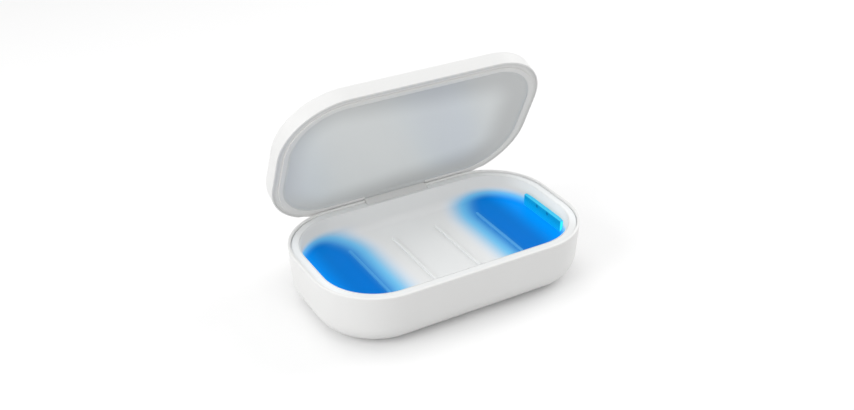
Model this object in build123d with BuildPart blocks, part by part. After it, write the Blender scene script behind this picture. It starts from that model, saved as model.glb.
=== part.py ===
from build123d import *
import os
from math import cos, radians, sin, tan

# A UV sanitizer box for phones: a deep base whose tub has a lamp at each end, and a thick
# lid that stands open on a friction hinge. Millimetres. X runs along the box, +Y points to
# the hinge, +Z is up, and the origin is the centre of the footprint on the table.

# overall
body_length = 220.0
body_width = 131.0
corner_radius = 50.0
rim_height = 44.0
lid_height = 13.8
open_angle = 65.8
part_gap = 0.3
fit_gap = 0.2

# base shell
foot_stand = 0.8
base_draft = 3.8
base_edge_radius = 17.0
base_wall = 3.0
base_floor = 3.0
base_lip = 2.3
lip_outer_round = 0.9
lip_inner_round = 0.5

# inner tub
flange_drop = 1.4
flange_thickness = 2.6
opening_inset = 9.0
flange_round = 0.9
opening_round = 0.35
seam_inset = 8.1
seam_width = 0.45
seam_depth = 0.6
tub_depth = 21.0
tub_wall = 1.9
tub_draft = 1.2
tub_cove = 6.0
rest_rib_length = 66.0
rest_rib_width = 2.4
rest_rib_height = 1.5
rest_rib_round = 0.6
rest_rib_pitch = 38.0
rest_rib_count = 4

# lamps at both ends of the tub
lamp_side_inset = 40.5
lamp_height = 9.8
lamp_drop = 10.6
lamp_reach = 3.6
lamp_wall = 1.2
lamp_round = 0.7
lamp_flange = 1.4
lamp_flange_thickness = 1.0
lamp_pad_rim = 2.6
lamp_board_margin = 11.0
lamp_board_thickness = 0.8
led_size = 3.5
led_height = 1.4
led_count = 2

# hinge
hinge_inset = 3.0
hinge_drop = 4.0
pin_radius = 1.0
pin_fit = 0.05
pin_seat = 7.0
barrel_radius = 2.8
knuckle_length = 54.0
knuckle_front = 3.4
knuckle_front_drop = 2.4
knuckle_front_round = 1.2
knuckle_leaf = 2.8
knuckle_foot_reach = 18.0
knuckle_screw_margin = 5.2
knuckle_screw_pitch = 18.0
knuckle_foot = 2.2
knuckle_bore_gap = 0.3
bush_wall = 0.85
bush_length = 8.0
cheek_length = 8.5
cheek_height = 5.5
cheek_front = 3.4

# lid shell, liner and panel
lid_edge_radius = 3.6
lid_rim_round = 0.4
lid_wall = 3.2
lid_skin = 2.4
lid_lip = 1.2
band_recess = 0.3
band_thickness = 2.0
ridge_inset = 4.9
ridge_width = 4.0
ridge_drop = 0.7
ridge_round = 0.65
panel_thickness = 2.4
panel_dish = 0.8
panel_land = 0.3
panel_slope = 60.0
panel_cove = 4.5
ledge_width = 3.2
ledge_thickness = 2.4
liner_web = 1.8
ear_wall = 1.4
side_ear_x = 42.0

# screws: head radius, head height, shank radius
base_screw_head = 2.6
base_screw_head_height = 1.8
base_screw_shank = 1.4
small_screw_head = 1.8
small_screw_head_height = 1.2
small_screw_shank = 0.9
screw_play = 0.2
thread_bite = 4.0
lid_thread_bite = 2.9
counterbore_depth = 6.0

# base bosses, foot and board
base_boss_radius = 4.8
tub_boss_length = 5.8
base_screw_x = 52.0
tub_boss_radius = 3.6
foot_inset = 25.5
foot_width = 7.0
foot_recess = 1.2
foot_round = 0.5
board_length = 80.0
board_depth = 40.0
board_thickness = 1.6
board_top_gap = 1.2
board_rear_inset = 10.0
board_post_radius = 2.6
board_post_margin = 4.0

# parts on the main board
component_pitch = 9.0
chip_size = 9.0
chip_height = 1.2
coil_block_size = 8.0
coil_block_height = 4.2
capacitor_radius = 3.2
capacitor_height = 6.0

# power socket in the rear wall
socket_width = 8.94
socket_height = 3.26
socket_length = 10.4
socket_depth = 6.6
socket_skin = 0.35
socket_tongue_width = 6.7
socket_tongue_length = 6.0
socket_tongue_thickness = 0.7
socket_setback = 0.6

# catch magnets and lid sensor
magnet_length = 12.0
magnet_width = 3.0
magnet_thickness = 2.0
magnet_pocket = 0.8
magnet_x = 30.0
magnet_inset = 4.95
sensor_length = 12.0
sensor_thickness = 1.4
sensor_magnet_length = 5.0

# button, switch, light and board in the lid
button_inset = 22.0
button_radius = 7.0
button_proud = 0.7
button_round = 0.6
button_dish = 0.3
button_dish_margin = 1.4
button_gap = 0.3
button_flange = 1.2
button_flange_height = 1.1
button_rest_gap = 0.15
button_travel = 0.5
switch_size = 6.2
switch_height = 3.0
plunger_radius = 1.5
plunger_entry = 0.9
light_radius = 1.2
light_base_radius = 2.0
light_base_height = 1.0
light_x = 14.0
lid_board_length = 60.0
lid_board_depth = 22.0
lid_board_thickness = 1.2
lid_board_level = 4.8
lid_post_x = 26.0
lid_post_radius = 2.4

# charging coil under the lid's top
coil_outer_radius = 25.0
coil_inner_radius = 11.0
coil_thickness = 1.4
coil_shield_size = 54.0
coil_shield_thickness = 1.0

# worked out from the sizes above
ledge_z = rim_height - flange_drop - flange_thickness
flange_z = rim_height - flange_drop
tub_floor_z = rim_height - tub_depth
tub_underside_z = tub_floor_z - tub_wall
base_boss_top = tub_underside_z - tub_boss_length
base_inner_z = foot_stand + base_floor
floor_middle_z = foot_stand + base_floor / 2
screw_seat_z = foot_stand + counterbore_depth
hinge_y = body_width / 2 - hinge_inset
hinge_z = rim_height - hinge_drop
knuckle_half = knuckle_length / 2
notch_half = knuckle_half + part_gap
notch_front_y = hinge_y - knuckle_front - 2 * part_gap
notch_bottom_z = hinge_z - barrel_radius - part_gap
pin_half = notch_half + pin_seat
board_top = tub_underside_z - board_top_gap - capacitor_height
board_base = board_top - board_thickness
lamp_length = body_width - 2 * lamp_side_inset
lamp_board_length = lamp_length - 2 * lamp_board_margin
led_pitch = lamp_board_length / led_count
bush_radius = pin_radius + pin_fit + bush_wall
lid_rise = hinge_drop + part_gap                  # hinge axis to the lid's parting plane
rear_corner = (hinge_inset**2 + hinge_drop**2) ** 0.5
relief_radius = rear_corner + part_gap            # clears the base's rear edge as the lid turns
liner_seat = band_recess + band_thickness
ridge_inner = ridge_inset + ridge_width
panel_inset = ridge_inner + pin_fit
ledge_top = panel_thickness + ledge_thickness
skin_level = lid_height - lid_skin
ear_inset = ridge_inner + ledge_width
ear_radius = small_screw_head + screw_play + ear_wall
lid_board_top = lid_board_level + lid_board_thickness

# frames: the lid is modelled open, on a plane turned about the hinge axis
tilt = radians(open_angle)
lid_back = Vector(0, cos(tilt), -sin(tilt))
lid_up = Vector(0, sin(tilt), cos(tilt))
hinge_point = Vector(0, hinge_y, hinge_z)
lid_frame = Plane(
    origin=hinge_point - lid_back * hinge_y + lid_up * lid_rise,
    x_dir=(1, 0, 0),
    z_dir=lid_up,
)
lid_axis = Axis(lid_frame.origin, lid_up)
centred_up = (Align.CENTER, Align.CENTER, Align.MIN)
centred_down = (Align.CENTER, Align.CENTER, Align.MAX)

os.makedirs("parts", exist_ok=True)


def outline(inset, mode=Mode.ADD):
    """The rounded plan of the box, moved inwards by inset."""
    RectangleRounded(
        body_length - 2 * inset, body_width - 2 * inset, corner_radius - inset, mode=mode
    )


def ring(outer_inset, inner_inset):
    """The band of the plan between two insets."""
    outline(outer_inset)
    outline(inner_inset, Mode.SUBTRACT)


def facing_down(z):
    """A level plane at height z whose extrusions run downwards."""
    return Plane(origin=(0, 0, z), x_dir=(1, 0, 0), z_dir=(0, 0, -1))


def pan(plane, inset, depth, draft, edge_radius):
    """A solid tray form: drafted walls from its mouth on a plane, and a rounded floor edge."""
    with BuildPart() as form:
        with BuildSketch(plane):
            outline(inset)
        extrude(amount=depth, taper=draft)
        floor_face = form.faces().sort_by(Axis(plane.origin, plane.z_dir))[-1]
        fillet(floor_face.edges(), edge_radius)
    return form.part


def across(x, y, z):
    """A plane facing +X whose own axes are Y and Z, for shapes that run along the hinge."""
    return Plane(origin=(x, y, z), x_dir=(0, 1, 0), z_dir=(1, 0, 0))


def lid_across(x):
    """The same on the open lid: its axes are the lid's rear and top, from the hinge axis."""
    return Plane(origin=hinge_point + Vector(x, 0, 0), x_dir=lid_back, z_dir=(1, 0, 0))


def rear_facing(y):
    """An upright plane through the power socket's centre line; extrusions run forwards."""
    return Plane(origin=(0, y, socket_z), x_dir=(1, 0, 0), z_dir=(0, -1, 0))


def base_inset_at(z):
    """How far the outer wall has come in at height z, by its draft and its rounded bottom."""
    below_round = max(foot_stand + base_edge_radius - z, 0)
    rounding = base_edge_radius - (base_edge_radius**2 - below_round**2) ** 0.5
    return (rim_height - z) * tan(radians(base_draft)) + rounding


corners = [(1, 1), (1, -1), (-1, -1), (-1, 1)]
base_screw_y = body_width / 2 - foot_inset - foot_width / 2
base_screw_points = [(base_screw_x * i, base_screw_y * j) for i, j in corners]
board_y = body_width / 2 - board_rear_inset - board_depth / 2
board_screw_points = [
    ((board_length / 2 - board_post_margin) * i, board_y + (board_depth / 2 - board_post_margin) * j)
    for i, j in corners
]
ear_y = body_width / 2 - ear_inset
end_ear_x = body_length / 2 - ear_inset
ear_points = [(side_ear_x, ear_y), (-side_ear_x, ear_y), (end_ear_x, 0)]
ear_points += [(-x, -y) for x, y in ear_points]
magnet_y = -(body_width / 2 - magnet_inset)
magnet_points = [(-magnet_x, magnet_y), (magnet_x, magnet_y)]
button_y = -(body_width / 2 - button_inset)
lid_board_y = -(body_width / 2 - ear_inset - part_gap - lid_board_depth / 2)
lid_post_points = [(-lid_post_x, lid_board_y), (lid_post_x, lid_board_y)]
foot_bottom = ledge_top + part_gap
foot_top = foot_bottom + knuckle_foot
knuckle_screw_y = hinge_y - knuckle_front - knuckle_foot_reach + knuckle_screw_margin
knuckle_screw_points = [(knuckle_screw_pitch * i, knuckle_screw_y) for i in (-1, 0, 1)]
socket_z = board_top + socket_height / 2
socket_mouth_y = body_width / 2 - base_inset_at(socket_z) - socket_setback
rest_rib_points = [
    ((i - (rest_rib_count - 1) / 2) * rest_rib_pitch, 0) for i in range(rest_rib_count)
]
led_points = [((i - (led_count - 1) / 2) * led_pitch) for i in range(led_count)]
lamp_z = rim_height - lamp_drop - lamp_height / 2
lamp_front_x = body_length / 2 - opening_inset - lamp_reach
lamp_pad_x = body_length / 2 - opening_inset + tub_wall
lamp_back_x = lamp_pad_x + lamp_flange_thickness


# ---- base ----

# The base shell: drafted walls, a large rounded bottom edge and a thin lip that stands
# round the tub's flange. Bosses rise from its floor, and two cheeks at the rear hold the
# ends of the hinge pin on both sides of the knuckle's notch.
shell_form = pan(facing_down(rim_height), 0, rim_height - foot_stand, base_draft, base_edge_radius)
shell_hollow = pan(
    facing_down(rim_height), base_wall, rim_height - base_inner_z, base_draft,
    base_edge_radius - base_wall,
)
with BuildPart() as base_shell:
    add(shell_form)
    fillet(base_shell.faces().sort_by(Axis.Z)[-1].edges(), lip_outer_round)
    add(shell_hollow, mode=Mode.SUBTRACT)
    with BuildSketch(Plane.XY.offset(ledge_z)):
        outline(base_lip)
    extrude(amount=rim_height - ledge_z, mode=Mode.SUBTRACT)
    fillet(base_shell.faces().sort_by(Axis.Z)[-1].inner_wires()[0].edges(), lip_inner_round)
    with Locations(*[(x, y, floor_middle_z) for x, y in base_screw_points]):
        Cylinder(base_boss_radius, base_boss_top - floor_middle_z, align=centred_up)
    with Locations(*[(x, y, floor_middle_z) for x, y in board_screw_points]):
        Cylinder(board_post_radius, board_base - floor_middle_z, align=centred_up)
    for side in (-1, 1):
        with Locations((side * (notch_half + cheek_length / 2), hinge_y - cheek_front, ledge_z)):
            Box(
                cheek_length, cheek_front + hinge_inset - base_wall / 2, cheek_height,
                align=(Align.CENTER, Align.MIN, Align.MAX),
            )
    with Locations((0, notch_front_y, notch_bottom_z)):
        Box(
            2 * notch_half, body_width, rim_height,
            align=(Align.CENTER, Align.MIN, Align.MIN), mode=Mode.SUBTRACT,
        )
    with BuildSketch(across(-pin_half - fit_gap, hinge_y, hinge_z)):
        Circle(pin_radius + pin_fit)
    extrude(amount=2 * (pin_half + fit_gap), mode=Mode.SUBTRACT)
    with BuildSketch(rear_facing(body_width / 2)):
        SlotOverall(socket_width + 2 * fit_gap, socket_height + 2 * fit_gap)
    extrude(amount=body_width / 2 - socket_mouth_y + base_wall, mode=Mode.SUBTRACT)
    with Locations(*[(x, y, 0) for x, y in base_screw_points]):
        Cylinder(
            base_screw_head + screw_play, screw_seat_z, align=centred_up, mode=Mode.SUBTRACT
        )
        Cylinder(
            base_screw_shank + screw_play, base_boss_top, align=centred_up, mode=Mode.SUBTRACT
        )
    with Locations(*[(x, y, board_base) for x, y in board_screw_points]):
        Cylinder(
            small_screw_shank + pin_fit, thread_bite + fit_gap,
            align=centred_down, mode=Mode.SUBTRACT,
        )
    with BuildSketch():
        ring(foot_inset - fit_gap, foot_inset + foot_width + fit_gap)
    extrude(amount=foot_stand + foot_recess, mode=Mode.SUBTRACT)
base_shell.part.label = "base_shell"
export_step(base_shell.part, "parts/base_shell.step")

# The inner tub: its flange lies on the shell's ledge inside the lip, with a fine seam groove
# round the opening. Its walls run down into a coved floor with four rest ribs, and the ends
# carry the lamp pads and windows.
tub_form = pan(
    facing_down(flange_z), opening_inset - tub_wall, flange_z - tub_underside_z, tub_draft,
    tub_cove + tub_wall,
)
tub_hollow = pan(
    facing_down(flange_z), opening_inset, flange_z - tub_floor_z, tub_draft, tub_cove
)
with BuildPart() as inner_tub:
    add(tub_form)
    with BuildSketch(Plane.XY.offset(ledge_z)):
        outline(base_lip + fit_gap)
    extrude(amount=flange_thickness)
    fillet(inner_tub.faces().sort_by(Axis.Z)[-1].outer_wire().edges(), flange_round)
    for side in (-1, 1):
        with Locations((side * lamp_pad_x / 2, 0, lamp_z)):
            Box(
                lamp_pad_x, lamp_length + 2 * lamp_pad_rim + 2 * lamp_flange,
                lamp_height + 2 * lamp_flange,
            )
    add(tub_hollow, mode=Mode.SUBTRACT)
    fillet(inner_tub.faces().sort_by(Axis.Z)[-1].inner_wires()[0].edges(), opening_round)
    with BuildSketch(facing_down(flange_z)):
        ring(seam_inset, seam_inset + seam_width)
    extrude(amount=seam_depth, mode=Mode.SUBTRACT)
    with BuildSketch(Plane.XY.offset(tub_floor_z)):
        with Locations(*rest_rib_points):
            SlotOverall(rest_rib_length, rest_rib_width, rotation=90)
    extrude(amount=rest_rib_height)
    rib_tops = inner_tub.faces().filter_by_position(
        Axis.Z, tub_floor_z + rest_rib_height, tub_floor_z + rest_rib_height
    )
    fillet(rib_tops.edges(), rest_rib_round)
    with Locations(*[(x, y, base_boss_top) for x, y in base_screw_points]):
        Cylinder(
            tub_boss_radius, tub_floor_z - tub_wall / 2 - base_boss_top, align=centred_up
        )
    with Locations(*[(x, y, base_boss_top) for x, y in base_screw_points]):
        Cylinder(
            base_screw_shank + pin_fit, thread_bite + fit_gap,
            align=centred_up, mode=Mode.SUBTRACT,
        )
    for side in (-1, 1):
        with Locations((side * (lamp_front_x - fit_gap), 0, lamp_z)):
            Box(
                body_length, lamp_length + 2 * pin_fit, lamp_height + 2 * pin_fit,
                align=(Align.MIN if side > 0 else Align.MAX, Align.CENTER, Align.CENTER),
                mode=Mode.SUBTRACT,
            )
    with Locations((0, notch_front_y, notch_bottom_z)):
        Box(
            2 * notch_half, body_width, rim_height,
            align=(Align.CENTER, Align.MIN, Align.MIN), mode=Mode.SUBTRACT,
        )
    with BuildSketch(across(-pin_half - fit_gap, hinge_y, hinge_z)):
        Circle(pin_radius + pin_fit)
    extrude(amount=2 * (pin_half + fit_gap), mode=Mode.SUBTRACT)
    with Locations(*[(x, y, ledge_z) for x, y in magnet_points]):
        Box(
            magnet_length + pin_fit, magnet_width + pin_fit, magnet_pocket,
            align=centred_up, mode=Mode.SUBTRACT,
        )
inner_tub.part.label = "inner_tub"
export_step(inner_tub.part, "parts/inner_tub.step")

# Lamp cover: a hollow translucent bar that stands out of the tub's end wall, with a flange
# behind the wall.
with BuildPart() as lamp_cover_right:
    with Locations((lamp_front_x, 0, lamp_z)):
        Box(
            lamp_pad_x - lamp_front_x, lamp_length, lamp_height,
            align=(Align.MIN, Align.CENTER, Align.CENTER),
        )
    cover_front = lamp_cover_right.faces().sort_by(Axis.X)[0]
    fillet(cover_front.edges(), lamp_round)
    with Locations((lamp_pad_x, 0, lamp_z)):
        Box(
            lamp_flange_thickness, lamp_length + 2 * lamp_flange, lamp_height + 2 * lamp_flange,
            align=(Align.MIN, Align.CENTER, Align.CENTER),
        )
    with Locations((lamp_front_x + lamp_wall, 0, lamp_z)):
        Box(
            lamp_back_x - lamp_front_x, lamp_length - 2 * lamp_wall, lamp_height - 2 * lamp_wall,
            align=(Align.MIN, Align.CENTER, Align.CENTER), mode=Mode.SUBTRACT,
        )
with BuildPart() as lamp_cover_left:
    mirror(lamp_cover_right.part, about=Plane.YZ)

# Lamp board: a narrow circuit board on the back of each cover's flange.
with BuildPart() as lamp_board_right:
    with Locations((lamp_back_x, 0, lamp_z)):
        Box(
            lamp_board_thickness, lamp_board_length, lamp_height,
            align=(Align.MIN, Align.CENTER, Align.CENTER),
        )
with BuildPart() as lamp_board_left:
    mirror(lamp_board_right.part, about=Plane.YZ)

# LED packages on each lamp board, facing into the cover.
with BuildPart() as lamp_leds_right:
    with Locations(*[(lamp_back_x, y, lamp_z) for y in led_points]):
        Box(led_height, led_size, led_size, align=(Align.MAX, Align.CENTER, Align.CENTER))
with BuildPart() as lamp_leds_left:
    mirror(lamp_leds_right.part, about=Plane.YZ)

for name, piece in {
    "lamp_cover_right": lamp_cover_right,
    "lamp_cover_left": lamp_cover_left,
    "lamp_board_right": lamp_board_right,
    "lamp_board_left": lamp_board_left,
    "lamp_leds_right": lamp_leds_right,
    "lamp_leds_left": lamp_leds_left,
}.items():
    piece.part.label = name
    export_step(piece.part, f"parts/{name}.step")

# Main board on four posts of the shell, with its larger parts on top.
with BuildPart() as main_board:
    with Locations((0, board_y, board_base)):
        Box(board_length, board_depth, board_thickness, align=centred_up)
    with Locations(*[(x, y, board_base) for x, y in board_screw_points]):
        Cylinder(
            small_screw_shank + screw_play, board_thickness, align=centred_up, mode=Mode.SUBTRACT
        )
main_board.part.label = "main_board"
export_step(main_board.part, "parts/main_board.step")

with BuildPart() as board_components:
    with Locations((-2 * component_pitch, board_y, board_top)):
        Box(chip_size, chip_size, chip_height, align=centred_up)
    with Locations((0, board_y - component_pitch, board_top)):
        Box(coil_block_size, coil_block_size, coil_block_height, align=centred_up)
    with Locations(*[(component_pitch * i, board_y, board_top) for i in (2, 3)]):
        Cylinder(capacitor_radius, capacitor_height, align=centred_up)
board_components.part.label = "board_components"
export_step(board_components.part, "parts/board_components.step")

# Power socket: a thin steel sleeve on the board's rear edge, open to the rear, with its
# contact tongue inside.
with BuildPart() as power_socket:
    with BuildSketch(rear_facing(socket_mouth_y)):
        SlotOverall(socket_width, socket_height)
    extrude(amount=socket_length)
    with BuildSketch(rear_facing(socket_mouth_y)):
        SlotOverall(socket_width - 2 * socket_skin, socket_height - 2 * socket_skin)
    extrude(amount=socket_depth, mode=Mode.SUBTRACT)
    with Locations((0, socket_mouth_y - socket_depth, socket_z)):
        Box(
            socket_tongue_width, socket_tongue_length, socket_tongue_thickness,
            align=(Align.CENTER, Align.MIN, Align.CENTER),
        )
power_socket.part.label = "power_socket"
export_step(power_socket.part, "parts/power_socket.step")

# Screws that hold the board, and those that hold shell and tub together from below.
with BuildPart() as board_screws:
    with Locations(*[(x, y, board_top) for x, y in board_screw_points]):
        Cylinder(small_screw_head, small_screw_head_height, align=centred_up)
        Cylinder(small_screw_shank, board_thickness + thread_bite, align=centred_down)
board_screws.part.label = "board_screws"
export_step(board_screws.part, "parts/board_screws.step")

with BuildPart() as base_screws:
    with Locations(*[(x, y, screw_seat_z) for x, y in base_screw_points]):
        Cylinder(base_screw_head, base_screw_head_height, align=centred_down)
        Cylinder(
            base_screw_shank, base_boss_top - screw_seat_z + thread_bite, align=centred_up
        )
base_screws.part.label = "base_screws"
export_step(base_screws.part, "parts/base_screws.step")

# Rubber foot: one ring in a shallow groove of the shell's bottom, over the screws' holes.
with BuildPart() as rubber_foot:
    with BuildSketch():
        ring(foot_inset, foot_inset + foot_width)
    extrude(amount=foot_stand + foot_recess)
    fillet(rubber_foot.faces().sort_by(Axis.Z)[0].edges(), foot_round)
rubber_foot.part.label = "rubber_foot"
export_step(rubber_foot.part, "parts/rubber_foot.step")

# Catch magnets and the lid sensor, under the front of the tub's flange.
with BuildPart() as base_magnets:
    with Locations(*[(x, y, ledge_z + magnet_pocket) for x, y in magnet_points]):
        Box(magnet_length, magnet_width, magnet_thickness, align=centred_down)
base_magnets.part.label = "base_magnets"
export_step(base_magnets.part, "parts/base_magnets.step")

with BuildPart() as lid_sensor:
    with Locations((0, magnet_y, ledge_z)):
        Box(sensor_length, magnet_width, sensor_thickness, align=centred_down)
lid_sensor.part.label = "lid_sensor"
export_step(lid_sensor.part, "parts/lid_sensor.step")

# Hinge pin: a steel rod that lies in the cheeks' grooves, under the tub's flange.
with BuildPart() as hinge_pin:
    with BuildSketch(across(-pin_half, hinge_y, hinge_z)):
        Circle(pin_radius)
    extrude(amount=2 * pin_half)
hinge_pin.part.label = "hinge_pin"
export_step(hinge_pin.part, "parts/hinge_pin.step")


# ---- lid ----

# The lid shell: a shallow cap with a rounded top edge. Bosses under its skin take the
# screws of liner, knuckle and board, and its rear lip is relieved beside the knuckle.
with BuildPart() as lid_shell:
    with BuildSketch(lid_frame):
        outline(0)
    extrude(amount=lid_height)
    fillet(lid_shell.faces().sort_by(lid_axis)[-1].edges(), lid_edge_radius)
    fillet(lid_shell.faces().sort_by(lid_axis)[0].edges(), lid_rim_round)
    with BuildSketch(lid_frame):
        outline(lid_lip)
    extrude(amount=liner_seat, mode=Mode.SUBTRACT)
    with BuildSketch(lid_frame.offset(liner_seat)):
        outline(lid_wall)
    extrude(amount=skin_level - liner_seat, mode=Mode.SUBTRACT)
    with BuildSketch(lid_frame.offset(ledge_top)):
        with Locations(*ear_points):
            Circle(ear_radius)
    extrude(amount=skin_level - ledge_top)
    with BuildSketch(lid_frame.offset(foot_top)):
        with Locations(*knuckle_screw_points):
            Circle(ear_radius)
    extrude(amount=skin_level - foot_top)
    with BuildSketch(lid_frame.offset(lid_board_top)):
        with Locations(*lid_post_points):
            Circle(lid_post_radius)
    extrude(amount=skin_level - lid_board_top)
    for level, points in (
        (ledge_top, ear_points),
        (foot_top, knuckle_screw_points),
        (lid_board_top, lid_post_points),
    ):
        with BuildSketch(lid_frame.offset(level)):
            with Locations(*points):
                Circle(small_screw_shank + pin_fit)
        extrude(amount=lid_thread_bite + fit_gap, mode=Mode.SUBTRACT)
    with BuildSketch(lid_frame.offset(skin_level)):
        with Locations((0, button_y)):
            Circle(button_radius + button_gap)
        with Locations((light_x, button_y)):
            Circle(light_radius + pin_fit)
    extrude(amount=lid_skin, mode=Mode.SUBTRACT)
    for side in (-1, 1):
        with BuildSketch(across(side * knuckle_half, hinge_y, hinge_z)):
            Circle(relief_radius)
        extrude(amount=side * body_length / 2, mode=Mode.SUBTRACT)
lid_shell.part.label = "lid_shell"
export_step(lid_shell.part, "parts/lid_shell.step")

# The lid liner: a level band, a low broad ridge that drops inside the base's lip, and a ledge
# above them that carries the panel. It is relieved at the rear as the shell's lip is, and open
# where the knuckle passes.
with BuildPart() as lid_liner:
    with BuildSketch(lid_frame.offset(band_recess)):
        ring(lid_lip + fit_gap, ridge_inner)
    extrude(amount=band_thickness)
    with BuildSketch(lid_frame.offset(-ridge_drop)):
        ring(ridge_inset, ridge_inner)
    extrude(amount=ridge_drop + band_recess)
    fillet(lid_liner.faces().sort_by(lid_axis)[0].edges(), ridge_round)
    for side in (-1, 1):
        with BuildSketch(across(side * knuckle_half, hinge_y, hinge_z)):
            Circle(relief_radius)
        extrude(amount=side * body_length / 2, mode=Mode.SUBTRACT)
    with BuildSketch(lid_frame.offset(liner_seat)):
        ring(ridge_inner - liner_web, ridge_inner)
    extrude(amount=ledge_top - liner_seat)
    with BuildSketch(lid_frame.offset(panel_thickness)):
        ring(ridge_inner - fit_gap, ridge_inner + ledge_width)
    extrude(amount=ledge_thickness)
    with BuildSketch(lid_frame.offset(panel_thickness)):
        with Locations(*ear_points):
            Circle(ear_radius)
    extrude(amount=ledge_thickness)
    with BuildSketch(lid_frame.offset(panel_thickness)):
        with Locations(*ear_points):
            Circle(small_screw_head + screw_play)
    extrude(amount=small_screw_head_height, mode=Mode.SUBTRACT)
    with BuildSketch(lid_frame.offset(panel_thickness)):
        with Locations(*ear_points):
            Circle(small_screw_shank + screw_play)
    extrude(amount=ledge_thickness, mode=Mode.SUBTRACT)
    with BuildSketch(lid_frame.offset(-ridge_drop)):
        with Locations((0, body_width / 2 - ridge_inner / 2)):
            Rectangle(knuckle_length + 2 * fit_gap, ridge_inner)
    extrude(amount=ridge_drop + ledge_top, mode=Mode.SUBTRACT)
    with BuildSketch(lid_frame.offset(liner_seat)):
        with Locations(*magnet_points):
            Rectangle(magnet_length + pin_fit, magnet_width + pin_fit)
        with Locations((0, magnet_y)):
            Rectangle(sensor_magnet_length + pin_fit, magnet_width + pin_fit)
    extrude(amount=-magnet_pocket, mode=Mode.SUBTRACT)
lid_liner.part.label = "lid_liner"
export_step(lid_liner.part, "parts/lid_liner.step")

# The smooth panel that closes the lid, against the liner's ledge: a shallow dish with coved
# edges, and a tab that reaches back to the knuckle.
panel_hollow = pan(lid_frame, panel_inset + panel_land, panel_dish, panel_slope, panel_cove)
panel_rear_y = body_width / 2 - panel_inset
tab_rear_y = hinge_y - knuckle_front - pin_fit
with BuildPart() as lid_panel:
    with BuildSketch(lid_frame):
        outline(panel_inset)
        with Locations((0, panel_rear_y)):
            Rectangle(knuckle_length, 2 * (tab_rear_y - panel_rear_y))
    extrude(amount=panel_thickness)
    add(panel_hollow, mode=Mode.SUBTRACT)
lid_panel.part.label = "lid_panel"
export_step(lid_panel.part, "parts/lid_panel.step")

# The hinge knuckle: a barrel about the pin, a flat front, and a leaf that rises into the
# lid to a foot screwed under the skin.
leaf_rear = knuckle_leaf - knuckle_front
with BuildPart() as hinge_knuckle:
    with BuildSketch(lid_across(-knuckle_half)) as knuckle_profile:
        with BuildLine():
            Polyline(
                (-knuckle_front, -knuckle_front_drop),
                (0, -knuckle_front_drop),
                (0, 0),
                (barrel_radius, 0),
                (barrel_radius, lid_rise),
                (leaf_rear, lid_rise),
                (leaf_rear, lid_rise + foot_top),
                (-knuckle_front - knuckle_foot_reach, lid_rise + foot_top),
                (-knuckle_front - knuckle_foot_reach, lid_rise + foot_bottom),
                (-knuckle_front, lid_rise + foot_bottom),
                close=True,
            )
        make_face()
        fillet(
            knuckle_profile.vertices().sort_by(Axis.Y)[:2].sort_by(Axis.X)[0],
            knuckle_front_round,
        )
        Circle(barrel_radius)
    extrude(amount=knuckle_length)
    with BuildSketch(lid_across(-knuckle_half)):
        Circle(pin_radius + knuckle_bore_gap)
    extrude(amount=knuckle_length, mode=Mode.SUBTRACT)
    with BuildSketch(lid_across(-knuckle_half)):
        Circle(bush_radius + pin_fit)
    extrude(amount=bush_length, mode=Mode.SUBTRACT)
    with BuildSketch(lid_across(knuckle_half - bush_length)):
        Circle(bush_radius + pin_fit)
    extrude(amount=bush_length, mode=Mode.SUBTRACT)
    with BuildSketch(lid_frame.offset(foot_bottom)):
        with Locations(*knuckle_screw_points):
            Circle(small_screw_shank + screw_play)
    extrude(amount=knuckle_foot, mode=Mode.SUBTRACT)
hinge_knuckle.part.label = "hinge_knuckle"
export_step(hinge_knuckle.part, "parts/hinge_knuckle.step")

# Friction bushes in both ends of the knuckle: they turn on the pin and hold the lid open.
for name, start in (
    ("hinge_bush_left", -knuckle_half),
    ("hinge_bush_right", knuckle_half - bush_length),
):
    with BuildPart() as bush:
        with BuildSketch(lid_across(start)):
            Circle(bush_radius)
            Circle(pin_radius + pin_fit, mode=Mode.SUBTRACT)
        extrude(amount=bush_length)
    bush.part.label = name
    export_step(bush.part, f"parts/{name}.step")

# Screws of the lid: head under the piece, shank up into the shell's boss.
for name, level, depth, points in (
    ("lid_screws", panel_thickness + small_screw_head_height, ledge_top, ear_points),
    ("knuckle_screws", foot_bottom, foot_top, knuckle_screw_points),
    ("lid_board_screws", lid_board_level, lid_board_top, lid_post_points),
):
    with BuildPart() as screws:
        with BuildSketch(lid_frame.offset(level - small_screw_head_height)):
            with Locations(*points):
                Circle(small_screw_head)
        extrude(amount=small_screw_head_height)
        with BuildSketch(lid_frame.offset(level)):
            with Locations(*points):
                Circle(small_screw_shank)
        extrude(amount=depth - level + lid_thread_bite)
    screws.part.label = name
    export_step(screws.part, f"parts/{name}.step")

# Catch magnets and the sensor's magnet, in pockets of the liner's band.
with BuildPart() as lid_magnets:
    with BuildSketch(lid_frame.offset(liner_seat - magnet_pocket)):
        with Locations(*magnet_points):
            Rectangle(magnet_length, magnet_width)
    extrude(amount=magnet_thickness)
lid_magnets.part.label = "lid_magnets"
export_step(lid_magnets.part, "parts/lid_magnets.step")

with BuildPart() as sensor_magnet:
    with BuildSketch(lid_frame.offset(liner_seat - magnet_pocket)):
        with Locations((0, magnet_y)):
            Rectangle(sensor_magnet_length, magnet_width)
    extrude(amount=magnet_thickness)
sensor_magnet.part.label = "sensor_magnet"
export_step(sensor_magnet.part, "parts/sensor_magnet.step")

# Lid board under the button, held to two posts.
with BuildPart() as lid_board:
    with BuildSketch(lid_frame.offset(lid_board_level)):
        with Locations((0, lid_board_y)):
            Rectangle(lid_board_length, lid_board_depth)
        with Locations(*lid_post_points):
            Circle(small_screw_shank + screw_play, mode=Mode.SUBTRACT)
    extrude(amount=lid_board_thickness)
lid_board.part.label = "lid_board"
export_step(lid_board.part, "parts/lid_board.step")

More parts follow.
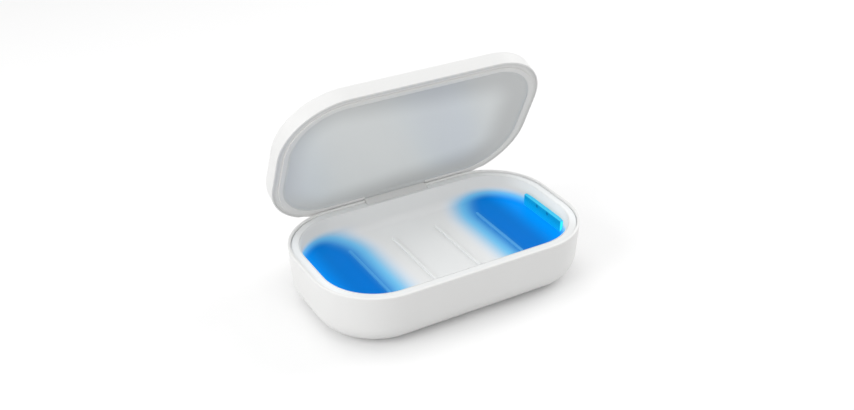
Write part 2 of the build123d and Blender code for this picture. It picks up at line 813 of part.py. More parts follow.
# Button stack: cap with a shallow dish and a flange, the switch's plunger below it, and the
# switch on the board.
flange_top = skin_level - button_rest_gap
flange_bottom = flange_top - button_flange_height
switch_top = lid_board_top + switch_height
dish_reach = button_radius - button_dish_margin
dish_radius = (dish_reach**2 + button_dish**2) / (2 * button_dish)
with BuildPart() as power_button:
    with BuildSketch(lid_frame.offset(flange_bottom)):
        with Locations((0, button_y)):
            Circle(button_radius + button_flange)
    extrude(amount=button_flange_height)
    with BuildSketch(lid_frame.offset(flange_top)):
        with Locations((0, button_y)):
            Circle(button_radius)
    extrude(amount=lid_height + button_proud - flange_top)
    fillet(power_button.faces().sort_by(lid_axis)[-1].edges(), button_round)
    with Locations(lid_frame.offset(lid_height + button_proud + dish_radius - button_dish)):
        with Locations((0, button_y)):
            Sphere(dish_radius, mode=Mode.SUBTRACT)
power_button.part.label = "power_button"
export_step(power_button.part, "parts/power_button.step")

with BuildPart() as switch_plunger:
    with BuildSketch(lid_frame.offset(switch_top - plunger_entry)):
        with Locations((0, button_y)):
            Circle(plunger_radius)
    extrude(amount=flange_bottom - switch_top + plunger_entry)
switch_plunger.part.label = "switch_plunger"
export_step(switch_plunger.part, "parts/switch_plunger.step")

with BuildPart() as button_switch:
    with BuildSketch(lid_frame.offset(lid_board_top)):
        with Locations((0, button_y)):
            Rectangle(switch_size, switch_size)
    extrude(amount=switch_height)
    with BuildSketch(lid_frame.offset(switch_top)):
        with Locations((0, button_y)):
            Circle(plunger_radius + part_gap)
    extrude(amount=-(plunger_entry + button_travel + part_gap), mode=Mode.SUBTRACT)
button_switch.part.label = "button_switch"
export_step(button_switch.part, "parts/button_switch.step")

# Status light: a clear rod from the board to the lid's top, beside the button.
with BuildPart() as status_light:
    with BuildSketch(lid_frame.offset(lid_board_top)):
        with Locations((light_x, button_y)):
            Circle(light_base_radius)
    extrude(amount=light_base_height)
    with BuildSketch(lid_frame.offset(lid_board_top)):
        with Locations((light_x, button_y)):
            Circle(light_radius)
    extrude(amount=lid_height - lid_board_top)
status_light.part.label = "status_light"
export_step(status_light.part, "parts/status_light.step")

# Charging coil under the middle of the skin, and its shield.
with BuildPart() as charging_coil:
    with BuildSketch(lid_frame.offset(skin_level - coil_thickness)):
        Circle(coil_outer_radius)
        Circle(coil_inner_radius, mode=Mode.SUBTRACT)
    extrude(amount=coil_thickness)
charging_coil.part.label = "charging_coil"
export_step(charging_coil.part, "parts/charging_coil.step")

with BuildPart() as coil_shield:
    with BuildSketch(lid_frame.offset(skin_level - coil_thickness - coil_shield_thickness)):
        Rectangle(coil_shield_size, coil_shield_size)
    extrude(amount=coil_shield_thickness)
coil_shield.part.label = "coil_shield"
export_step(coil_shield.part, "parts/coil_shield.step")
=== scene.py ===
import math
import bmesh
import bpy
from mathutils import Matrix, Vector


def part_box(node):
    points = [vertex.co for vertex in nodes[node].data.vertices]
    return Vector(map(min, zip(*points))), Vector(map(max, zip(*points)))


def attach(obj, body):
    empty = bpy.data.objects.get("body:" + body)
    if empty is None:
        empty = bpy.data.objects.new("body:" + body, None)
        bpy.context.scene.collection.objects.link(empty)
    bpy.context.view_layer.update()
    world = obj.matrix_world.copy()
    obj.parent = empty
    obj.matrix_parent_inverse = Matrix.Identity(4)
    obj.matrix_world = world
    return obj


# A UV sanitizer box for phones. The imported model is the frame. This script gives each piece
# its finish, fits the contact tongue in the power socket, and sets floor, light and camera.

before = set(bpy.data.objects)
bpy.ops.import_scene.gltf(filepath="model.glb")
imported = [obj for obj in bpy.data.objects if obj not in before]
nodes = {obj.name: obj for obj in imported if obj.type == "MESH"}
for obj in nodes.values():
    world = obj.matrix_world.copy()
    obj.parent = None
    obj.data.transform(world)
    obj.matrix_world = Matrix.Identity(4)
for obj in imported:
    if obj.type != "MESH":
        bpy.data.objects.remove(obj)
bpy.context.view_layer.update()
mm = 0.001
nearZero = 0.0001    # is added to a divisor that can be 0
print("frame loaded:", len(nodes), "pieces")


# helpers

def linearColour(hexText):
    channels = [int(hexText[i:i + 2], 16) / 255 for i in (1, 3, 5)]
    return (*[c / 12.92 if c <= 0.04045 else ((c + 0.055) / 1.055) ** 2.4 for c in channels], 1.0)


def addNode(tree, kind, settings=None, inputs=None):
    node = tree.nodes.new(kind)
    for name, value in (settings or {}).items():
        setattr(node, name, value)
    for socket, value in (inputs or {}).items():
        if isinstance(value, bpy.types.NodeSocket):
            tree.links.new(value, node.inputs[socket])
        else:
            node.inputs[socket].default_value = value
    return node


def startMaterial(name, **shaderValues):
    material = bpy.data.materials.new(name)
    material.use_nodes = True
    tree = material.node_tree
    tree.nodes.clear()
    shader = addNode(tree, "ShaderNodeBsdfPrincipled")
    for socket, value in shaderValues.items():
        shader.inputs[socket.replace("_", " ")].default_value = value
    addNode(tree, "ShaderNodeOutputMaterial", inputs={"Surface": shader.outputs["BSDF"]})
    coords = addNode(tree, "ShaderNodeTexCoord").outputs["Object"]
    return material, tree, shader, coords


def mixColours(tree, amount, first, second):
    return addNode(tree, "ShaderNodeMix", {"data_type": "RGBA"},
                   {"Factor": amount, "A": first, "B": second}).outputs["Result"]


def softRange(tree, value, low, high, toLow=0.0, toHigh=1.0):
    return addNode(tree, "ShaderNodeMapRange", {"interpolation_type": "SMOOTHSTEP"},
                   {"Value": value, "From Min": low, "From Max": high,
                    "To Min": toLow, "To Max": toHigh}).outputs["Result"]


def calculate(tree, operation, first, second=0.0):
    return addNode(tree, "ShaderNodeMath", {"operation": operation},
                   {0: first, 1: second}).outputs["Value"]


def seenDirectly(tree):
    # 1 for what the camera sees, straight or in a reflection or through glass
    path = addNode(tree, "ShaderNodeLightPath").outputs
    mirrored = calculate(tree, "MAXIMUM", path["Is Glossy Ray"], path["Is Transmission Ray"])
    return calculate(tree, "MAXIMUM", path["Is Camera Ray"], mirrored)


noiseLook = {
    "patchDetail": 2.0, "gritDetail": 3.0, "gritRoughness": 0.6,
    "low": 0.3, "high": 0.7,    # most of the noise lies between these two
}


def mottle(tree, coords, patchSize, low, high):
    # slow change of colour from melt flow, between two shades
    noise = addNode(tree, "ShaderNodeTexNoise", None,
                    {"Vector": coords, "Scale": 1 / patchSize,
                     "Detail": noiseLook["patchDetail"]})
    return mixColours(tree, noise.outputs["Fac"], linearColour(low), linearColour(high))


def grain(tree, shader, coords, gritSize, gritDepth, roughness, roughnessSpread):
    # fine grain that breaks up the gloss; real grain is finer, this is as coarse as it must be
    # to show
    grit = addNode(tree, "ShaderNodeTexNoise", None,
                   {"Vector": coords, "Scale": 1 / gritSize, "Detail": noiseLook["gritDetail"],
                    "Roughness": noiseLook["gritRoughness"]})
    bump = addNode(tree, "ShaderNodeBump", None,
                   {"Height": grit.outputs["Fac"], "Distance": gritDepth, "Strength": 1.0})
    spread = softRange(tree, grit.outputs["Fac"], noiseLook["low"], noiseLook["high"],
                       roughness - roughnessSpread, roughness + roughnessSpread)
    tree.links.new(spread, shader.inputs["Roughness"])
    tree.links.new(bump.outputs["Normal"], shader.inputs["Normal"])


def dress(material, *names):
    for name in names:
        nodes[name].data.materials.clear()
        nodes[name].data.materials.append(material)


# outer shells: white ABS from a spark-eroded mould

shellLook = {
    "light": "#F4F4F3", "dark": "#F0F0EF",    # almost pure white, with a trace of flow marks
    "patchSize": 70 * mm, "gritSize": 0.45 * mm, "gritDepth": 0.006 * mm,
    "roughness": 0.44, "roughnessSpread": 0.05, "ior": 1.54,
}


def mouldedFinish(name, look):
    # two close shades under a fine grain, as moulding and pressing leave them
    material, tree, shader, coords = startMaterial(name, IOR=look["ior"])
    tree.links.new(mottle(tree, coords, look["patchSize"], look["dark"], look["light"]),
                   shader.inputs["Base Color"])
    grain(tree, shader, coords, look["gritSize"], look["gritDepth"],
          look["roughness"], look["roughnessSpread"])
    return material


# the eroded mould leaves a satin white that mirrors nothing sharply
# painted shade: the lid's shell is the base's white made a shade greyer, as the lid stands darker
# in the light
lidShellLook = dict(shellLook, light="#F0F0EF", dark="#ECECEB")    # a shade greyer than the base
dress(mouldedFinish("sparkTexturedWhiteAbs", shellLook), "base_shell")
dress(mouldedFinish("sparkTexturedWhiteAbsLid", lidShellLook), "lid_shell")
print("shells dressed")


# inner tub: white ABS under the lamps' blue light

tubLook = {
    "light": "#F0F1F1", "dark": "#ECEDED",
    "patchSize": 60 * mm, "gritSize": 0.5 * mm, "gritDepth": 0.004 * mm,
    "roughness": 0.42, "roughnessSpread": 0.05, "ior": 1.54, "mirror": 0.03,
    "tintColour": "#78BEDA", "tintFull": 0.5,    # what the white becomes at half the light
    "litColour": "#00378A", "litFrom": 0.4, "litFull": 0.85,    # and near the full light
    "glowColour": "#009CFF", "glowStrength": 0.5,
    "nearReach": 24 * mm, "nearBoost": 0.5,    # added to the glow beside a cover
    "reachAlong": 72 * mm, "reachAside": 70 * mm,    # where the light ends
    "fullWithin": 0.42,    # the share of both over which it is full
    "fullBelow": -3.5 * mm, "goneAbove": 11.5 * mm,    # heights over the tub's floor
    "bounceShare": 0.03,    # how much of the glow other surfaces get
    "spillColour": "#EAF8FF", "spillStrength": 0.14,    # paler light on the wall over a cover
    "spillFrom": 9.0 * mm, "spillTo": 15.0 * mm, "spillReach": 16 * mm,
    "floorDrop": 19.6 * mm,    # from the tub's flange down to its floor
    "coverFlange": 1.4 * mm,    # the part of each cover that the tub's wall hides
}


def lampGlow(tree, coords, look):
    # how much of the lamps' light a point of the tub gets: full on the floor beside a cover,
    # and gone towards the middle of the tub and up its walls
    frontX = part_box("lamp_cover_right")[0].x
    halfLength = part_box("lamp_cover_right")[1].y - look["coverFlange"]
    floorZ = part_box("inner_tub")[1].z - look["floorDrop"]
    place = addNode(tree, "ShaderNodeSeparateXYZ", None, {"Vector": coords}).outputs
    inwards = calculate(tree, "SUBTRACT", frontX, calculate(tree, "ABSOLUTE", place["X"]))
    aside = calculate(tree, "SUBTRACT", calculate(tree, "ABSOLUTE", place["Y"]), halfLength)
    total = None
    for distance, reach in ((inwards, look["reachAlong"]), (aside, look["reachAside"])):
        share = calculate(tree, "MAXIMUM", calculate(tree, "DIVIDE", distance, reach), 0.0)
        square = calculate(tree, "MULTIPLY", share, share)
        total = square if total is None else calculate(tree, "ADD", total, square)
    away = calculate(tree, "SQRT", total)
    level = softRange(tree, away, look["fullWithin"], 1.0, 1.0, 0.0)
    rise = softRange(tree, place["Z"], floorZ + look["fullBelow"], floorZ + look["goneAbove"],
                     1.0, 0.0)
    near = softRange(tree, inwards, 0.0, look["nearReach"], look["nearBoost"], 0.0)
    return calculate(tree, "MULTIPLY", level, rise), near


def wallSpill(tree, coords, look):
    # the pale light that leaks over a cover's top onto the end wall behind it
    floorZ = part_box("inner_tub")[1].z - look["floorDrop"]
    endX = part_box("lamp_cover_right")[1].x
    place = addNode(tree, "ShaderNodeSeparateXYZ", None, {"Vector": coords}).outputs
    risen = softRange(tree, place["Z"], floorZ + look["spillFrom"], floorZ + look["spillTo"])
    along = calculate(tree, "ABSOLUTE", place["X"])
    atEnd = softRange(tree, along, endX - look["spillReach"], endX)
    return calculate(tree, "MULTIPLY", risen, atEnd)


def litTubAbs(look):
    # the same ABS, a satin white, with the glow of the lamps painted on it by place
    material, tree, shader, coords = startMaterial(
        "satinWhiteAbsInLampLight", IOR=look["ior"], Specular_IOR_Level=look["mirror"])
    passed = softRange(tree, seenDirectly(tree), 0.0, 1.0, look["bounceShare"], 1.0)
    level, near = lampGlow(tree, coords, look)
    white = mottle(tree, coords, look["patchSize"], look["dark"], look["light"])
    seenLevel = calculate(tree, "MULTIPLY", level, passed)
    tinted = mixColours(tree, softRange(tree, seenLevel, 0.0, look["tintFull"]), white,
                        linearColour(look["tintColour"]))
    lit = softRange(tree, seenLevel, look["litFrom"], look["litFull"])
    tree.links.new(mixColours(tree, lit, tinted, linearColour(look["litColour"])),
                   shader.inputs["Base Color"])
    spill = calculate(tree, "MULTIPLY", wallSpill(tree, coords, look), look["spillStrength"])
    glow = calculate(tree, "MULTIPLY", level, calculate(tree, "ADD", near, look["glowStrength"]))
    both = calculate(tree, "ADD", glow, spill)
    blueShare = calculate(tree, "DIVIDE", glow, calculate(tree, "ADD", both, nearZero))
    tree.links.new(mixColours(tree, blueShare, linearColour(look["spillColour"]),
                              linearColour(look["glowColour"])), shader.inputs["Emission Color"])
    tree.links.new(calculate(tree, "MULTIPLY", both, passed), shader.inputs["Emission Strength"])
    grain(tree, shader, coords, look["gritSize"], look["gritDepth"],
          look["roughness"], look["roughnessSpread"])
    return material


dress(litTubAbs(tubLook), "inner_tub")
print("tub dressed")


# lamp covers: translucent polycarbonate, lit from behind

coverLook = {
    "frontColour": "#053049", "topColour": "#48B4CC", "endColour": "#38A8C8",
    "frontGlow": "#0096D6", "lowGlow": "#00ACFF", "topGlow": "#0090BE", "endGlow": "#20ECFF",
    "glowStrength": 0.85, "bounceShare": 0.03,
    "faceEdge": 0.7 * mm,    # the colours change over the rounded edges
    # painted shade in the glow: a darker spot over each LED package
    "packageShadeAside": 7.0 * mm, "packageShadeSize": 2.2 * mm, "packageShadeColour": "#00589A",
    "gritSize": 0.4 * mm, "gritDepth": 0.004 * mm, "roughness": 0.3, "roughnessSpread": 0.04,
    "ior": 1.585, "mirror": 0.12, "flange": 1.4 * mm,
}


def diffuserPolycarbonate(look):
    # opal diffuser: deep blue light through the front, the top and the ends painted paler where
    # they catch the room's light, and painted shade in the glow, a soft dark spot over each LED
    # package
    low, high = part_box("lamp_cover_right")
    bottom, top = low.z + look["flange"], high.z - look["flange"]
    end = high.y - look["flange"]
    material, tree, shader, coords = startMaterial(
        "opalPolycarbonateLitBlue", IOR=look["ior"], Specular_IOR_Level=look["mirror"])
    passed = softRange(tree, seenDirectly(tree), 0.0, 1.0, look["bounceShare"], 1.0)
    tree.links.new(calculate(tree, "MULTIPLY", passed, look["glowStrength"]),
                   shader.inputs["Emission Strength"])
    place = addNode(tree, "ShaderNodeSeparateXYZ", None, {"Vector": coords}).outputs
    aside = calculate(tree, "ABSOLUTE", place["Y"])
    onTop = softRange(tree, place["Z"], top - look["faceEdge"], top)
    onEnd = softRange(tree, aside, end - look["faceEdge"], end)
    height = softRange(tree, place["Z"], bottom, top)
    offPackageShade = calculate(tree, "SUBTRACT", aside, look["packageShadeAside"])
    belowTop = calculate(tree, "SUBTRACT", top - look["packageShadeSize"], place["Z"])
    away = calculate(tree, "SQRT", calculate(
        tree, "ADD", calculate(tree, "MULTIPLY", offPackageShade, offPackageShade),
        calculate(tree, "MULTIPLY", belowTop, belowTop)))
    packageShade = softRange(tree, away, 0.0, look["packageShadeSize"], 1.0, 0.0)
    front = mixColours(tree, height, linearColour(look["lowGlow"]), linearColour(look["frontGlow"]))
    # painted shade over each LED package, then the top and the ends painted paler as painted light
    packageShaded = mixColours(tree, packageShade, front, linearColour(look["packageShadeColour"]))
    ended = mixColours(tree, onEnd, packageShaded, linearColour(look["endGlow"]))
    tree.links.new(mixColours(tree, onTop, ended, linearColour(look["topGlow"])),
                   shader.inputs["Emission Color"])
    # the top and the ends are painted paler in the base colour too, as painted light
    body = mixColours(tree, onEnd, linearColour(look["frontColour"]),
                      linearColour(look["endColour"]))
    tree.links.new(mixColours(tree, onTop, body, linearColour(look["topColour"])),
                   shader.inputs["Base Color"])
    grain(tree, shader, coords, look["gritSize"], look["gritDepth"],
          look["roughness"], look["roughnessSpread"])
    return material


dress(diffuserPolycarbonate(coverLook), "lamp_cover_right", "lamp_cover_left")
print("lamp covers dressed")


# lid inside: liner, hinge knuckle and panel

linerLook = {
    # painted shade: the band outside the ridge is painted a darker grey than the ridge, as shade
    # beside the lit ridge
    "light": "#E9E9E8", "dark": "#E5E5E4",    # the ridge round the panel
    "band": "#DEDEDD", "bandFrom": -5.0 * mm, "bandTo": -6.4 * mm,    # the band outside it
    "patchSize": 60 * mm, "gritSize": 0.45 * mm, "gritDepth": 0.006 * mm,
    "roughness": 0.45, "roughnessSpread": 0.05, "ior": 1.54,
}
knuckleLook = {
    "light": "#E2E2E1", "dark": "#DEDEDD",
    "patchSize": 60 * mm, "gritSize": 0.45 * mm, "gritDepth": 0.006 * mm,
    "roughness": 0.45, "roughnessSpread": 0.05, "ior": 1.54,
}
panelLook = {
    "light": "#EEF1F1", "dark": "#E9ECEC",    # a cooler white than the liner round it
    # painted shade: the panel is painted greyer towards its edge, more broadly towards the right
    # end
    "edge": "#CFD1D1", "edgeReach": 30 * mm, "edgeDrift": 0.1,    # greyer towards its edge
    "patchSize": 90 * mm, "gritSize": 0.5 * mm, "gritDepth": 0.003 * mm,
    "roughness": 0.34, "roughnessSpread": 0.04, "ior": 1.54,
}
buttonLook = {
    "light": "#EDEDED", "dark": "#E9E9E9",
    "patchSize": 20 * mm, "gritSize": 0.4 * mm, "gritDepth": 0.003 * mm,
    "roughness": 0.36, "roughnessSpread": 0.04, "ior": 1.54,
}

# the outline of the lid's panel, in the plane of the open lid, and how that plane stands
panelOutline = {
    "hinge": (0, 62.5 * mm, 40 * mm), "tilt": 65.8,    # in degrees from closed
    "halfLength": 101.05 * mm, "halfWidth": 56.55 * mm, "corner": 41.05 * mm,
}


def fromOutline(tree, coords, look):
    # how far in from the panel's rounded outline a point lies, in the plane of the lid
    flat = addNode(tree, "ShaderNodeMapping", {"vector_type": "TEXTURE"},
                   {"Vector": coords, "Location": look["hinge"],
                    "Rotation": (-math.radians(look["tilt"]), 0, 0)}).outputs["Vector"]
    place = addNode(tree, "ShaderNodeSeparateXYZ", None, {"Vector": flat}).outputs
    along = calculate(tree, "ABSOLUTE", place["X"])
    across = calculate(tree, "ABSOLUTE", calculate(tree, "ADD", place["Y"], look["hinge"][1]))
    past = [calculate(tree, "SUBTRACT", value, look[half] - look["corner"])
            for value, half in ((along, "halfLength"), (across, "halfWidth"))]
    outside = [calculate(tree, "MAXIMUM", value, 0.0) for value in past]
    squares = [calculate(tree, "MULTIPLY", value, value) for value in outside]
    bend = calculate(tree, "SQRT", calculate(tree, "ADD", *squares))
    straight = calculate(tree, "MINIMUM", calculate(tree, "MAXIMUM", *past), 0.0)
    return calculate(tree, "SUBTRACT", look["corner"], calculate(tree, "ADD", bend, straight))


def shadedAbs(name, look, shade, start, end, drift=0.0):
    # moulded ABS with painted shade: it changes to a darker shade of itself by the distance from
    # the outline, sooner towards the right end where there is drift
    material = mouldedFinish(name, look)
    tree = material.node_tree
    shader = tree.nodes["Principled BSDF"]
    plain = shader.inputs["Base Color"].links[0].from_socket
    coords = addNode(tree, "ShaderNodeTexCoord").outputs["Object"]
    along = addNode(tree, "ShaderNodeSeparateXYZ", None, {"Vector": coords}).outputs["X"]
    distance = calculate(tree, "SUBTRACT", fromOutline(tree, coords, panelOutline),
                         calculate(tree, "MULTIPLY", along, drift))
    amount = softRange(tree, distance, start, end)
    tree.links.new(mixColours(tree, amount, plain, linearColour(shade)),
                   shader.inputs["Base Color"])
    return material


# liner and knuckle are a soft grey beside the white shells, and as satin as they are
# the liner's band is painted a darker grey by distance from the panel's outline, as painted shade
linerAbs = shadedAbs("satinGreyAbs", linerLook, linerLook["band"],
                     linerLook["bandFrom"], linerLook["bandTo"])
dress(linerAbs, "lid_liner")
dress(mouldedFinish("satinGreyKnuckleAbs", knuckleLook), "hinge_knuckle")
# panel and button come from smoother moulds, so they shine a little more
# the panel's greyer edge is painted shade, reaching further in towards the right end
panelAbs = shadedAbs("smoothCoolWhiteAbs", panelLook, panelLook["edge"],
                     panelLook["edgeReach"], 0.0, panelLook["edgeDrift"])
dress(panelAbs, "lid_panel")
dress(mouldedFinish("satinWhiteButtonAbs", buttonLook), "power_button", "switch_plunger")
print("lid inside and button dressed")


# status light, rubber foot

lightLook = {
    "colour": "#E4F2FF", "clearness": 0.7, "gritSize": 0.3 * mm, "gritDepth": 0.002 * mm,
    "roughness": 0.12, "roughnessSpread": 0.03, "ior": 1.49,
}
footLook = {
    "light": "#C9C9C7", "dark": "#BEBEBC", "patchSize": 15 * mm,
    "gritSize": 0.6 * mm, "gritDepth": 0.02 * mm, "roughness": 0.82, "roughnessSpread": 0.06,
    "ior": 1.52,
}


def acrylicRod(look):
    # clear acrylic light rod: glassy, with a faint blue tint in the depth
    material, tree, shader, coords = startMaterial(
        "clearAcrylicRod", IOR=look["ior"], Transmission_Weight=look["clearness"])
    shader.inputs["Base Color"].default_value = linearColour(look["colour"])
    grain(tree, shader, coords, look["gritSize"], look["gritDepth"],
          look["roughness"], look["roughnessSpread"])
    return material


dress(acrylicRod(lightLook), "status_light")
# silicone rubber: a pale grey, so matt that it has no highlights
dress(mouldedFinish("mattSiliconeRubber", footLook), "rubber_foot")


# metals: plated steel, nickel, brass, wound copper

metalGritDepth = 0.002 * mm
metalLooks = {
    "zincPlatedSteel": {    # pale grey: bright, but too uneven to mirror
        "colour": "#C4C6C8", "roughness": 0.32, "spread": 0.06, "gritSize": 0.3 * mm,
        "pieces": ("power_socket", "board_screws", "base_screws", "lid_screws",
                   "knuckle_screws", "lid_board_screws", "hinge_pin"),
    },
    "nickelPlatedMagnet": {    # warmer and shinier than zinc
        "colour": "#CFCBC2", "roughness": 0.2, "spread": 0.04, "gritSize": 0.4 * mm,
        "pieces": ("base_magnets", "lid_magnets", "sensor_magnet"),
    },
    "turnedBrass": {    # yellow, with the soft shine of fine turning marks
        "colour": "#D8B266", "roughness": 0.25, "spread": 0.05, "gritSize": 0.25 * mm,
        "pieces": ("hinge_bush_left", "hinge_bush_right"),
    },
}


def brightMetal(name, look):
    # plated or turned metal, uneven enough for its highlights to spread a little
    material, tree, shader, coords = startMaterial(name, Metallic=1.0)
    shader.inputs["Base Color"].default_value = linearColour(look["colour"])
    grain(tree, shader, coords, look["gritSize"], metalGritDepth, look["roughness"],
          look["spread"])
    return material


for name, look in metalLooks.items():
    dress(brightMetal(name, look), *look["pieces"])

coilLook = {
    "copper": "#C9784A", "gap": "#5E2F18", "wireSize": 0.7 * mm, "roughness": 0.3,
    "waveStep": math.pi / 10,    # the ring texture's scale times the pitch of its rings
}


def woundCopper(look):
    # enamelled copper wire wound flat: dark grooves between bright turns about the coil's axis
    material, tree, shader, coords = startMaterial(
        "woundEnamelledCopper", Metallic=1.0, Roughness=look["roughness"])
    low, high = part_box("charging_coil")
    centred = addNode(tree, "ShaderNodeMapping", {"vector_type": "POINT"},
                      {"Vector": coords, "Location": -(low + high) / 2}).outputs["Vector"]
    turns = addNode(tree, "ShaderNodeTexWave",
                    {"wave_type": "RINGS", "rings_direction": "SPHERICAL"},
                    {"Vector": centred, "Scale": look["waveStep"] / look["wireSize"]})
    tree.links.new(mixColours(tree, turns.outputs["Fac"], linearColour(look["gap"]),
                              linearColour(look["copper"])), shader.inputs["Base Color"])
    return material


dress(woundCopper(coilLook), "charging_coil")
print("light, foot and metals dressed")


# circuit boards and what is on them

boardLook = {
    "mask": "#1F6B3F", "track": "#2F8A52", "trackPitch": 1.6 * mm, "trackShare": 0.03,
    "brickWidth": 0.5,    # of the brick texture at a scale of 1
    "roughness": 0.4, "ior": 1.5,
}
blackLook = {
    "light": "#1D1D1E", "dark": "#161617", "patchSize": 8 * mm, "gritSize": 0.3 * mm,
    "gritDepth": 0.01 * mm, "roughness": 0.55, "roughnessSpread": 0.08, "ior": 1.55,
}
ferriteLook = {
    "light": "#2B2A2A", "dark": "#201F1F", "patchSize": 6 * mm, "gritSize": 0.5 * mm,
    "gritDepth": 0.02 * mm, "roughness": 0.7, "roughnessSpread": 0.08, "ior": 1.6,
}
ledLook = {
    "light": "#F4E7A8", "dark": "#EBDB92", "patchSize": 2 * mm, "gritSize": 0.3 * mm,
    "gritDepth": 0.003 * mm, "roughness": 0.25, "roughnessSpread": 0.04, "ior": 1.5,
}


def maskedBoard(look):
    # glass-fibre board under green solder mask: half gloss, and tracks show as a lighter green
    material, tree, shader, coords = startMaterial(
        "greenSolderMask", IOR=look["ior"], Roughness=look["roughness"])
    cells = addNode(tree, "ShaderNodeTexBrick", {"offset": 0.5},
                    {"Vector": coords, "Scale": look["brickWidth"] / look["trackPitch"],
                     "Mortar Size": look["trackShare"],
                     "Color1": linearColour(look["mask"]), "Color2": linearColour(look["mask"]),
                     "Mortar": linearColour(look["track"])})
    tree.links.new(cells.outputs["Color"], shader.inputs["Base Color"])
    return material


dress(maskedBoard(boardLook), "lamp_board_right", "lamp_board_left", "main_board", "lid_board")
# epoxy moulded round a chip: almost black, half matt
blackEpoxy = mouldedFinish("mouldedBlackEpoxy", blackLook)
dress(blackEpoxy, "board_components", "lid_sensor", "button_switch")
# pressed and sintered ferrite: a dull dark grey
dress(mouldedFinish("sinteredFerrite", ferriteLook), "coil_shield")
# phosphor under cast silicone: a warm yellow with a soft gloss
dress(mouldedFinish("siliconeLedLens", ledLook), "lamp_leds_right", "lamp_leds_left")
print("electronics dressed")


# power socket: black tongue with its gold contacts

socketFit = {
    "skin": 0.05 * mm, "width": 6.7 * mm, "thickness": 0.7 * mm, "length": 6.0 * mm,
    "setback": 0.6 * mm, "contactCount": 8, "contactPitch": 0.68 * mm,
    "contactWidth": 0.34 * mm, "contactLength": 4.2 * mm, "contactProud": 0.03 * mm,
    "edgeRound": 0.08 * mm, "edgeSteps": 2,
}
# gold plated thinly over nickel: a yellow shine
goldLook = {"colour": "#E3B95B", "roughness": 0.22, "spread": 0.03, "gritSize": 0.3 * mm}


def addBox(mesh, centre, size):
    made = bmesh.ops.create_cube(mesh, size=1.0)["verts"]
    bmesh.ops.scale(mesh, vec=size, verts=made)
    bmesh.ops.translate(mesh, vec=centre, verts=made)


def finishPiece(name, mesh, material, body):
    bmesh.ops.recalc_face_normals(mesh, faces=mesh.faces)
    data = bpy.data.meshes.new(name)
    mesh.to_mesh(data)
    mesh.free()
    piece = bpy.data.objects.new(name, data)
    bpy.context.scene.collection.objects.link(piece)
    data.materials.append(material)
    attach(piece, body)


def socketTongue(fit):
    low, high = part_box("power_socket")
    middle = Vector((0, high.y - fit["setback"] - fit["length"] / 2, (low.z + high.z) / 2))
    tongue = bmesh.new()
    addBox(tongue, middle, Vector((fit["width"], fit["length"], fit["thickness"]))
           + Vector((2, 2, 2)) * fit["skin"])
    bmesh.ops.bevel(tongue, geom=tongue.edges, offset=fit["edgeRound"],
                    segments=fit["edgeSteps"], profile=0.5, affect="EDGES", material=-1)
    finishPiece("socket_tongue", tongue, blackEpoxy, "base")
    contacts = bmesh.new()
    level = fit["thickness"] / 2 + fit["skin"]
    for side in (-1, 1):
        for i in range(fit["contactCount"]):
            x = (i - (fit["contactCount"] - 1) / 2) * fit["contactPitch"]
            addBox(contacts, middle + Vector((x, 0, side * level)),
                   Vector((fit["contactWidth"], fit["contactLength"], 2 * fit["contactProud"])))
    finishPiece("socket_contacts", contacts, brightMetal("goldPlatedContacts", goldLook),
                "base")


socketTongue(socketFit)
print("socket contacts fitted")


# floor, light and camera

studio = {
    "floorSize": 6.0, "floorColour": "#DCDCDC",    # what other surfaces get back from the floor
    "floorSeenColour": "#FFFFFF", "floorSeenGlow": 0.02,    # what the camera sees of it
    "worldColour": "#FFFFFF", "worldStrength": 0.665, "worldSeenStrength": 1.0,
}
lampTarget = Vector((0, 0, 50 * mm))    # every lamp faces the middle of the open box
lampPlaces = {
    "leftPanel": {"place": (-1.2, -0.15, 0.7), "size": 0.9, "power": 5.6},
    "topPanel": {"place": (-0.15, 0.35, 1.5), "size": 1.0, "power": 3.4},
    "rightPanel": {"place": (1.2, 0.1, 0.7), "size": 0.9, "power": 5.0},
}


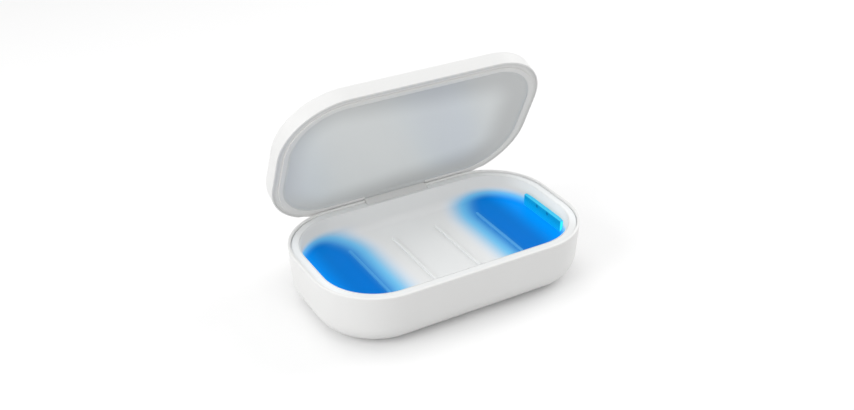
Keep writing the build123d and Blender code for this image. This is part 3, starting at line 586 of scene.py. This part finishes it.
def paleFloor(look):
    mesh = bmesh.new()
    bmesh.ops.create_grid(mesh, x_segments=1, y_segments=1, size=look["floorSize"] / 2)
    data = bpy.data.meshes.new("floor")
    mesh.to_mesh(data)
    mesh.free()
    floor = bpy.data.objects.new("floor", data)
    bpy.context.scene.collection.objects.link(floor)
    material = bpy.data.materials.new("paleFloorPaper")    # matt paper: soft shadow, no mirror
    material.use_nodes = True
    tree = material.node_tree
    tree.nodes.clear()
    seen = seenDirectly(tree)
    colour = mixColours(tree, seen, linearColour(look["floorColour"]),
                        linearColour(look["floorSeenColour"]))
    paper = addNode(tree, "ShaderNodeBsdfDiffuse", None, {"Color": colour}).outputs["BSDF"]
    lift = addNode(tree, "ShaderNodeEmission", None,
                   {"Strength": calculate(tree, "MULTIPLY", seen, look["floorSeenGlow"])})
    both = addNode(tree, "ShaderNodeAddShader", None, {0: paper, 1: lift.outputs["Emission"]})
    addNode(tree, "ShaderNodeOutputMaterial", inputs={"Surface": both.outputs["Shader"]})
    data.materials.append(material)


def whiteWorld(look):
    world = bpy.data.worlds.new("studio")
    world.use_nodes = True
    tree = world.node_tree
    tree.nodes.clear()
    strength = softRange(tree, seenDirectly(tree), 0.0, 1.0,
                         look["worldStrength"], look["worldSeenStrength"])
    sky = addNode(tree, "ShaderNodeBackground", None,
                  {"Color": linearColour(look["worldColour"]), "Strength": strength})
    addNode(tree, "ShaderNodeOutputWorld", inputs={"Surface": sky.outputs["Background"]})
    bpy.context.scene.world = world


def softLamp(name, look, target):
    data = bpy.data.lights.new(name, "AREA")
    data.shape = "DISK"
    data.size = look["size"]
    data.energy = look["power"]
    lamp = bpy.data.objects.new(name, data)
    bpy.context.scene.collection.objects.link(lamp)
    lamp.location = look["place"]
    lamp.rotation_euler = (Vector(look["place"]) - target).to_track_quat("Z", "Y").to_euler()


paleFloor(studio)
whiteWorld(studio)
for lampName, lampLook in lampPlaces.items():
    softLamp(lampName, lampLook, lampTarget)
print("floor and lights set")

view = {
    "turn": -30.14, "height": 30.03,    # in degrees
    "distance": 831.35 * mm, "target": (-8.03 * mm, 0, 66.37 * mm),
    "lens": 47.505, "sensor": 36.0,
}


def setCamera(look):
    turn, height = math.radians(look["turn"]), math.radians(look["height"])
    back = Vector((math.sin(turn) * math.cos(height), -math.cos(turn) * math.cos(height),
                   math.sin(height)))
    data = bpy.data.cameras.new("camera")
    data.lens = look["lens"]
    data.sensor_width = look["sensor"]
    camera = bpy.data.objects.new("camera", data)
    bpy.context.scene.collection.objects.link(camera)
    camera.location = Vector(look["target"]) + back * look["distance"]
    camera.rotation_euler = back.to_track_quat("Z", "Y").to_euler()
    bpy.context.scene.camera = camera


setCamera(view)
bpy.context.scene.view_settings.view_transform = "Standard"
print("camera set")
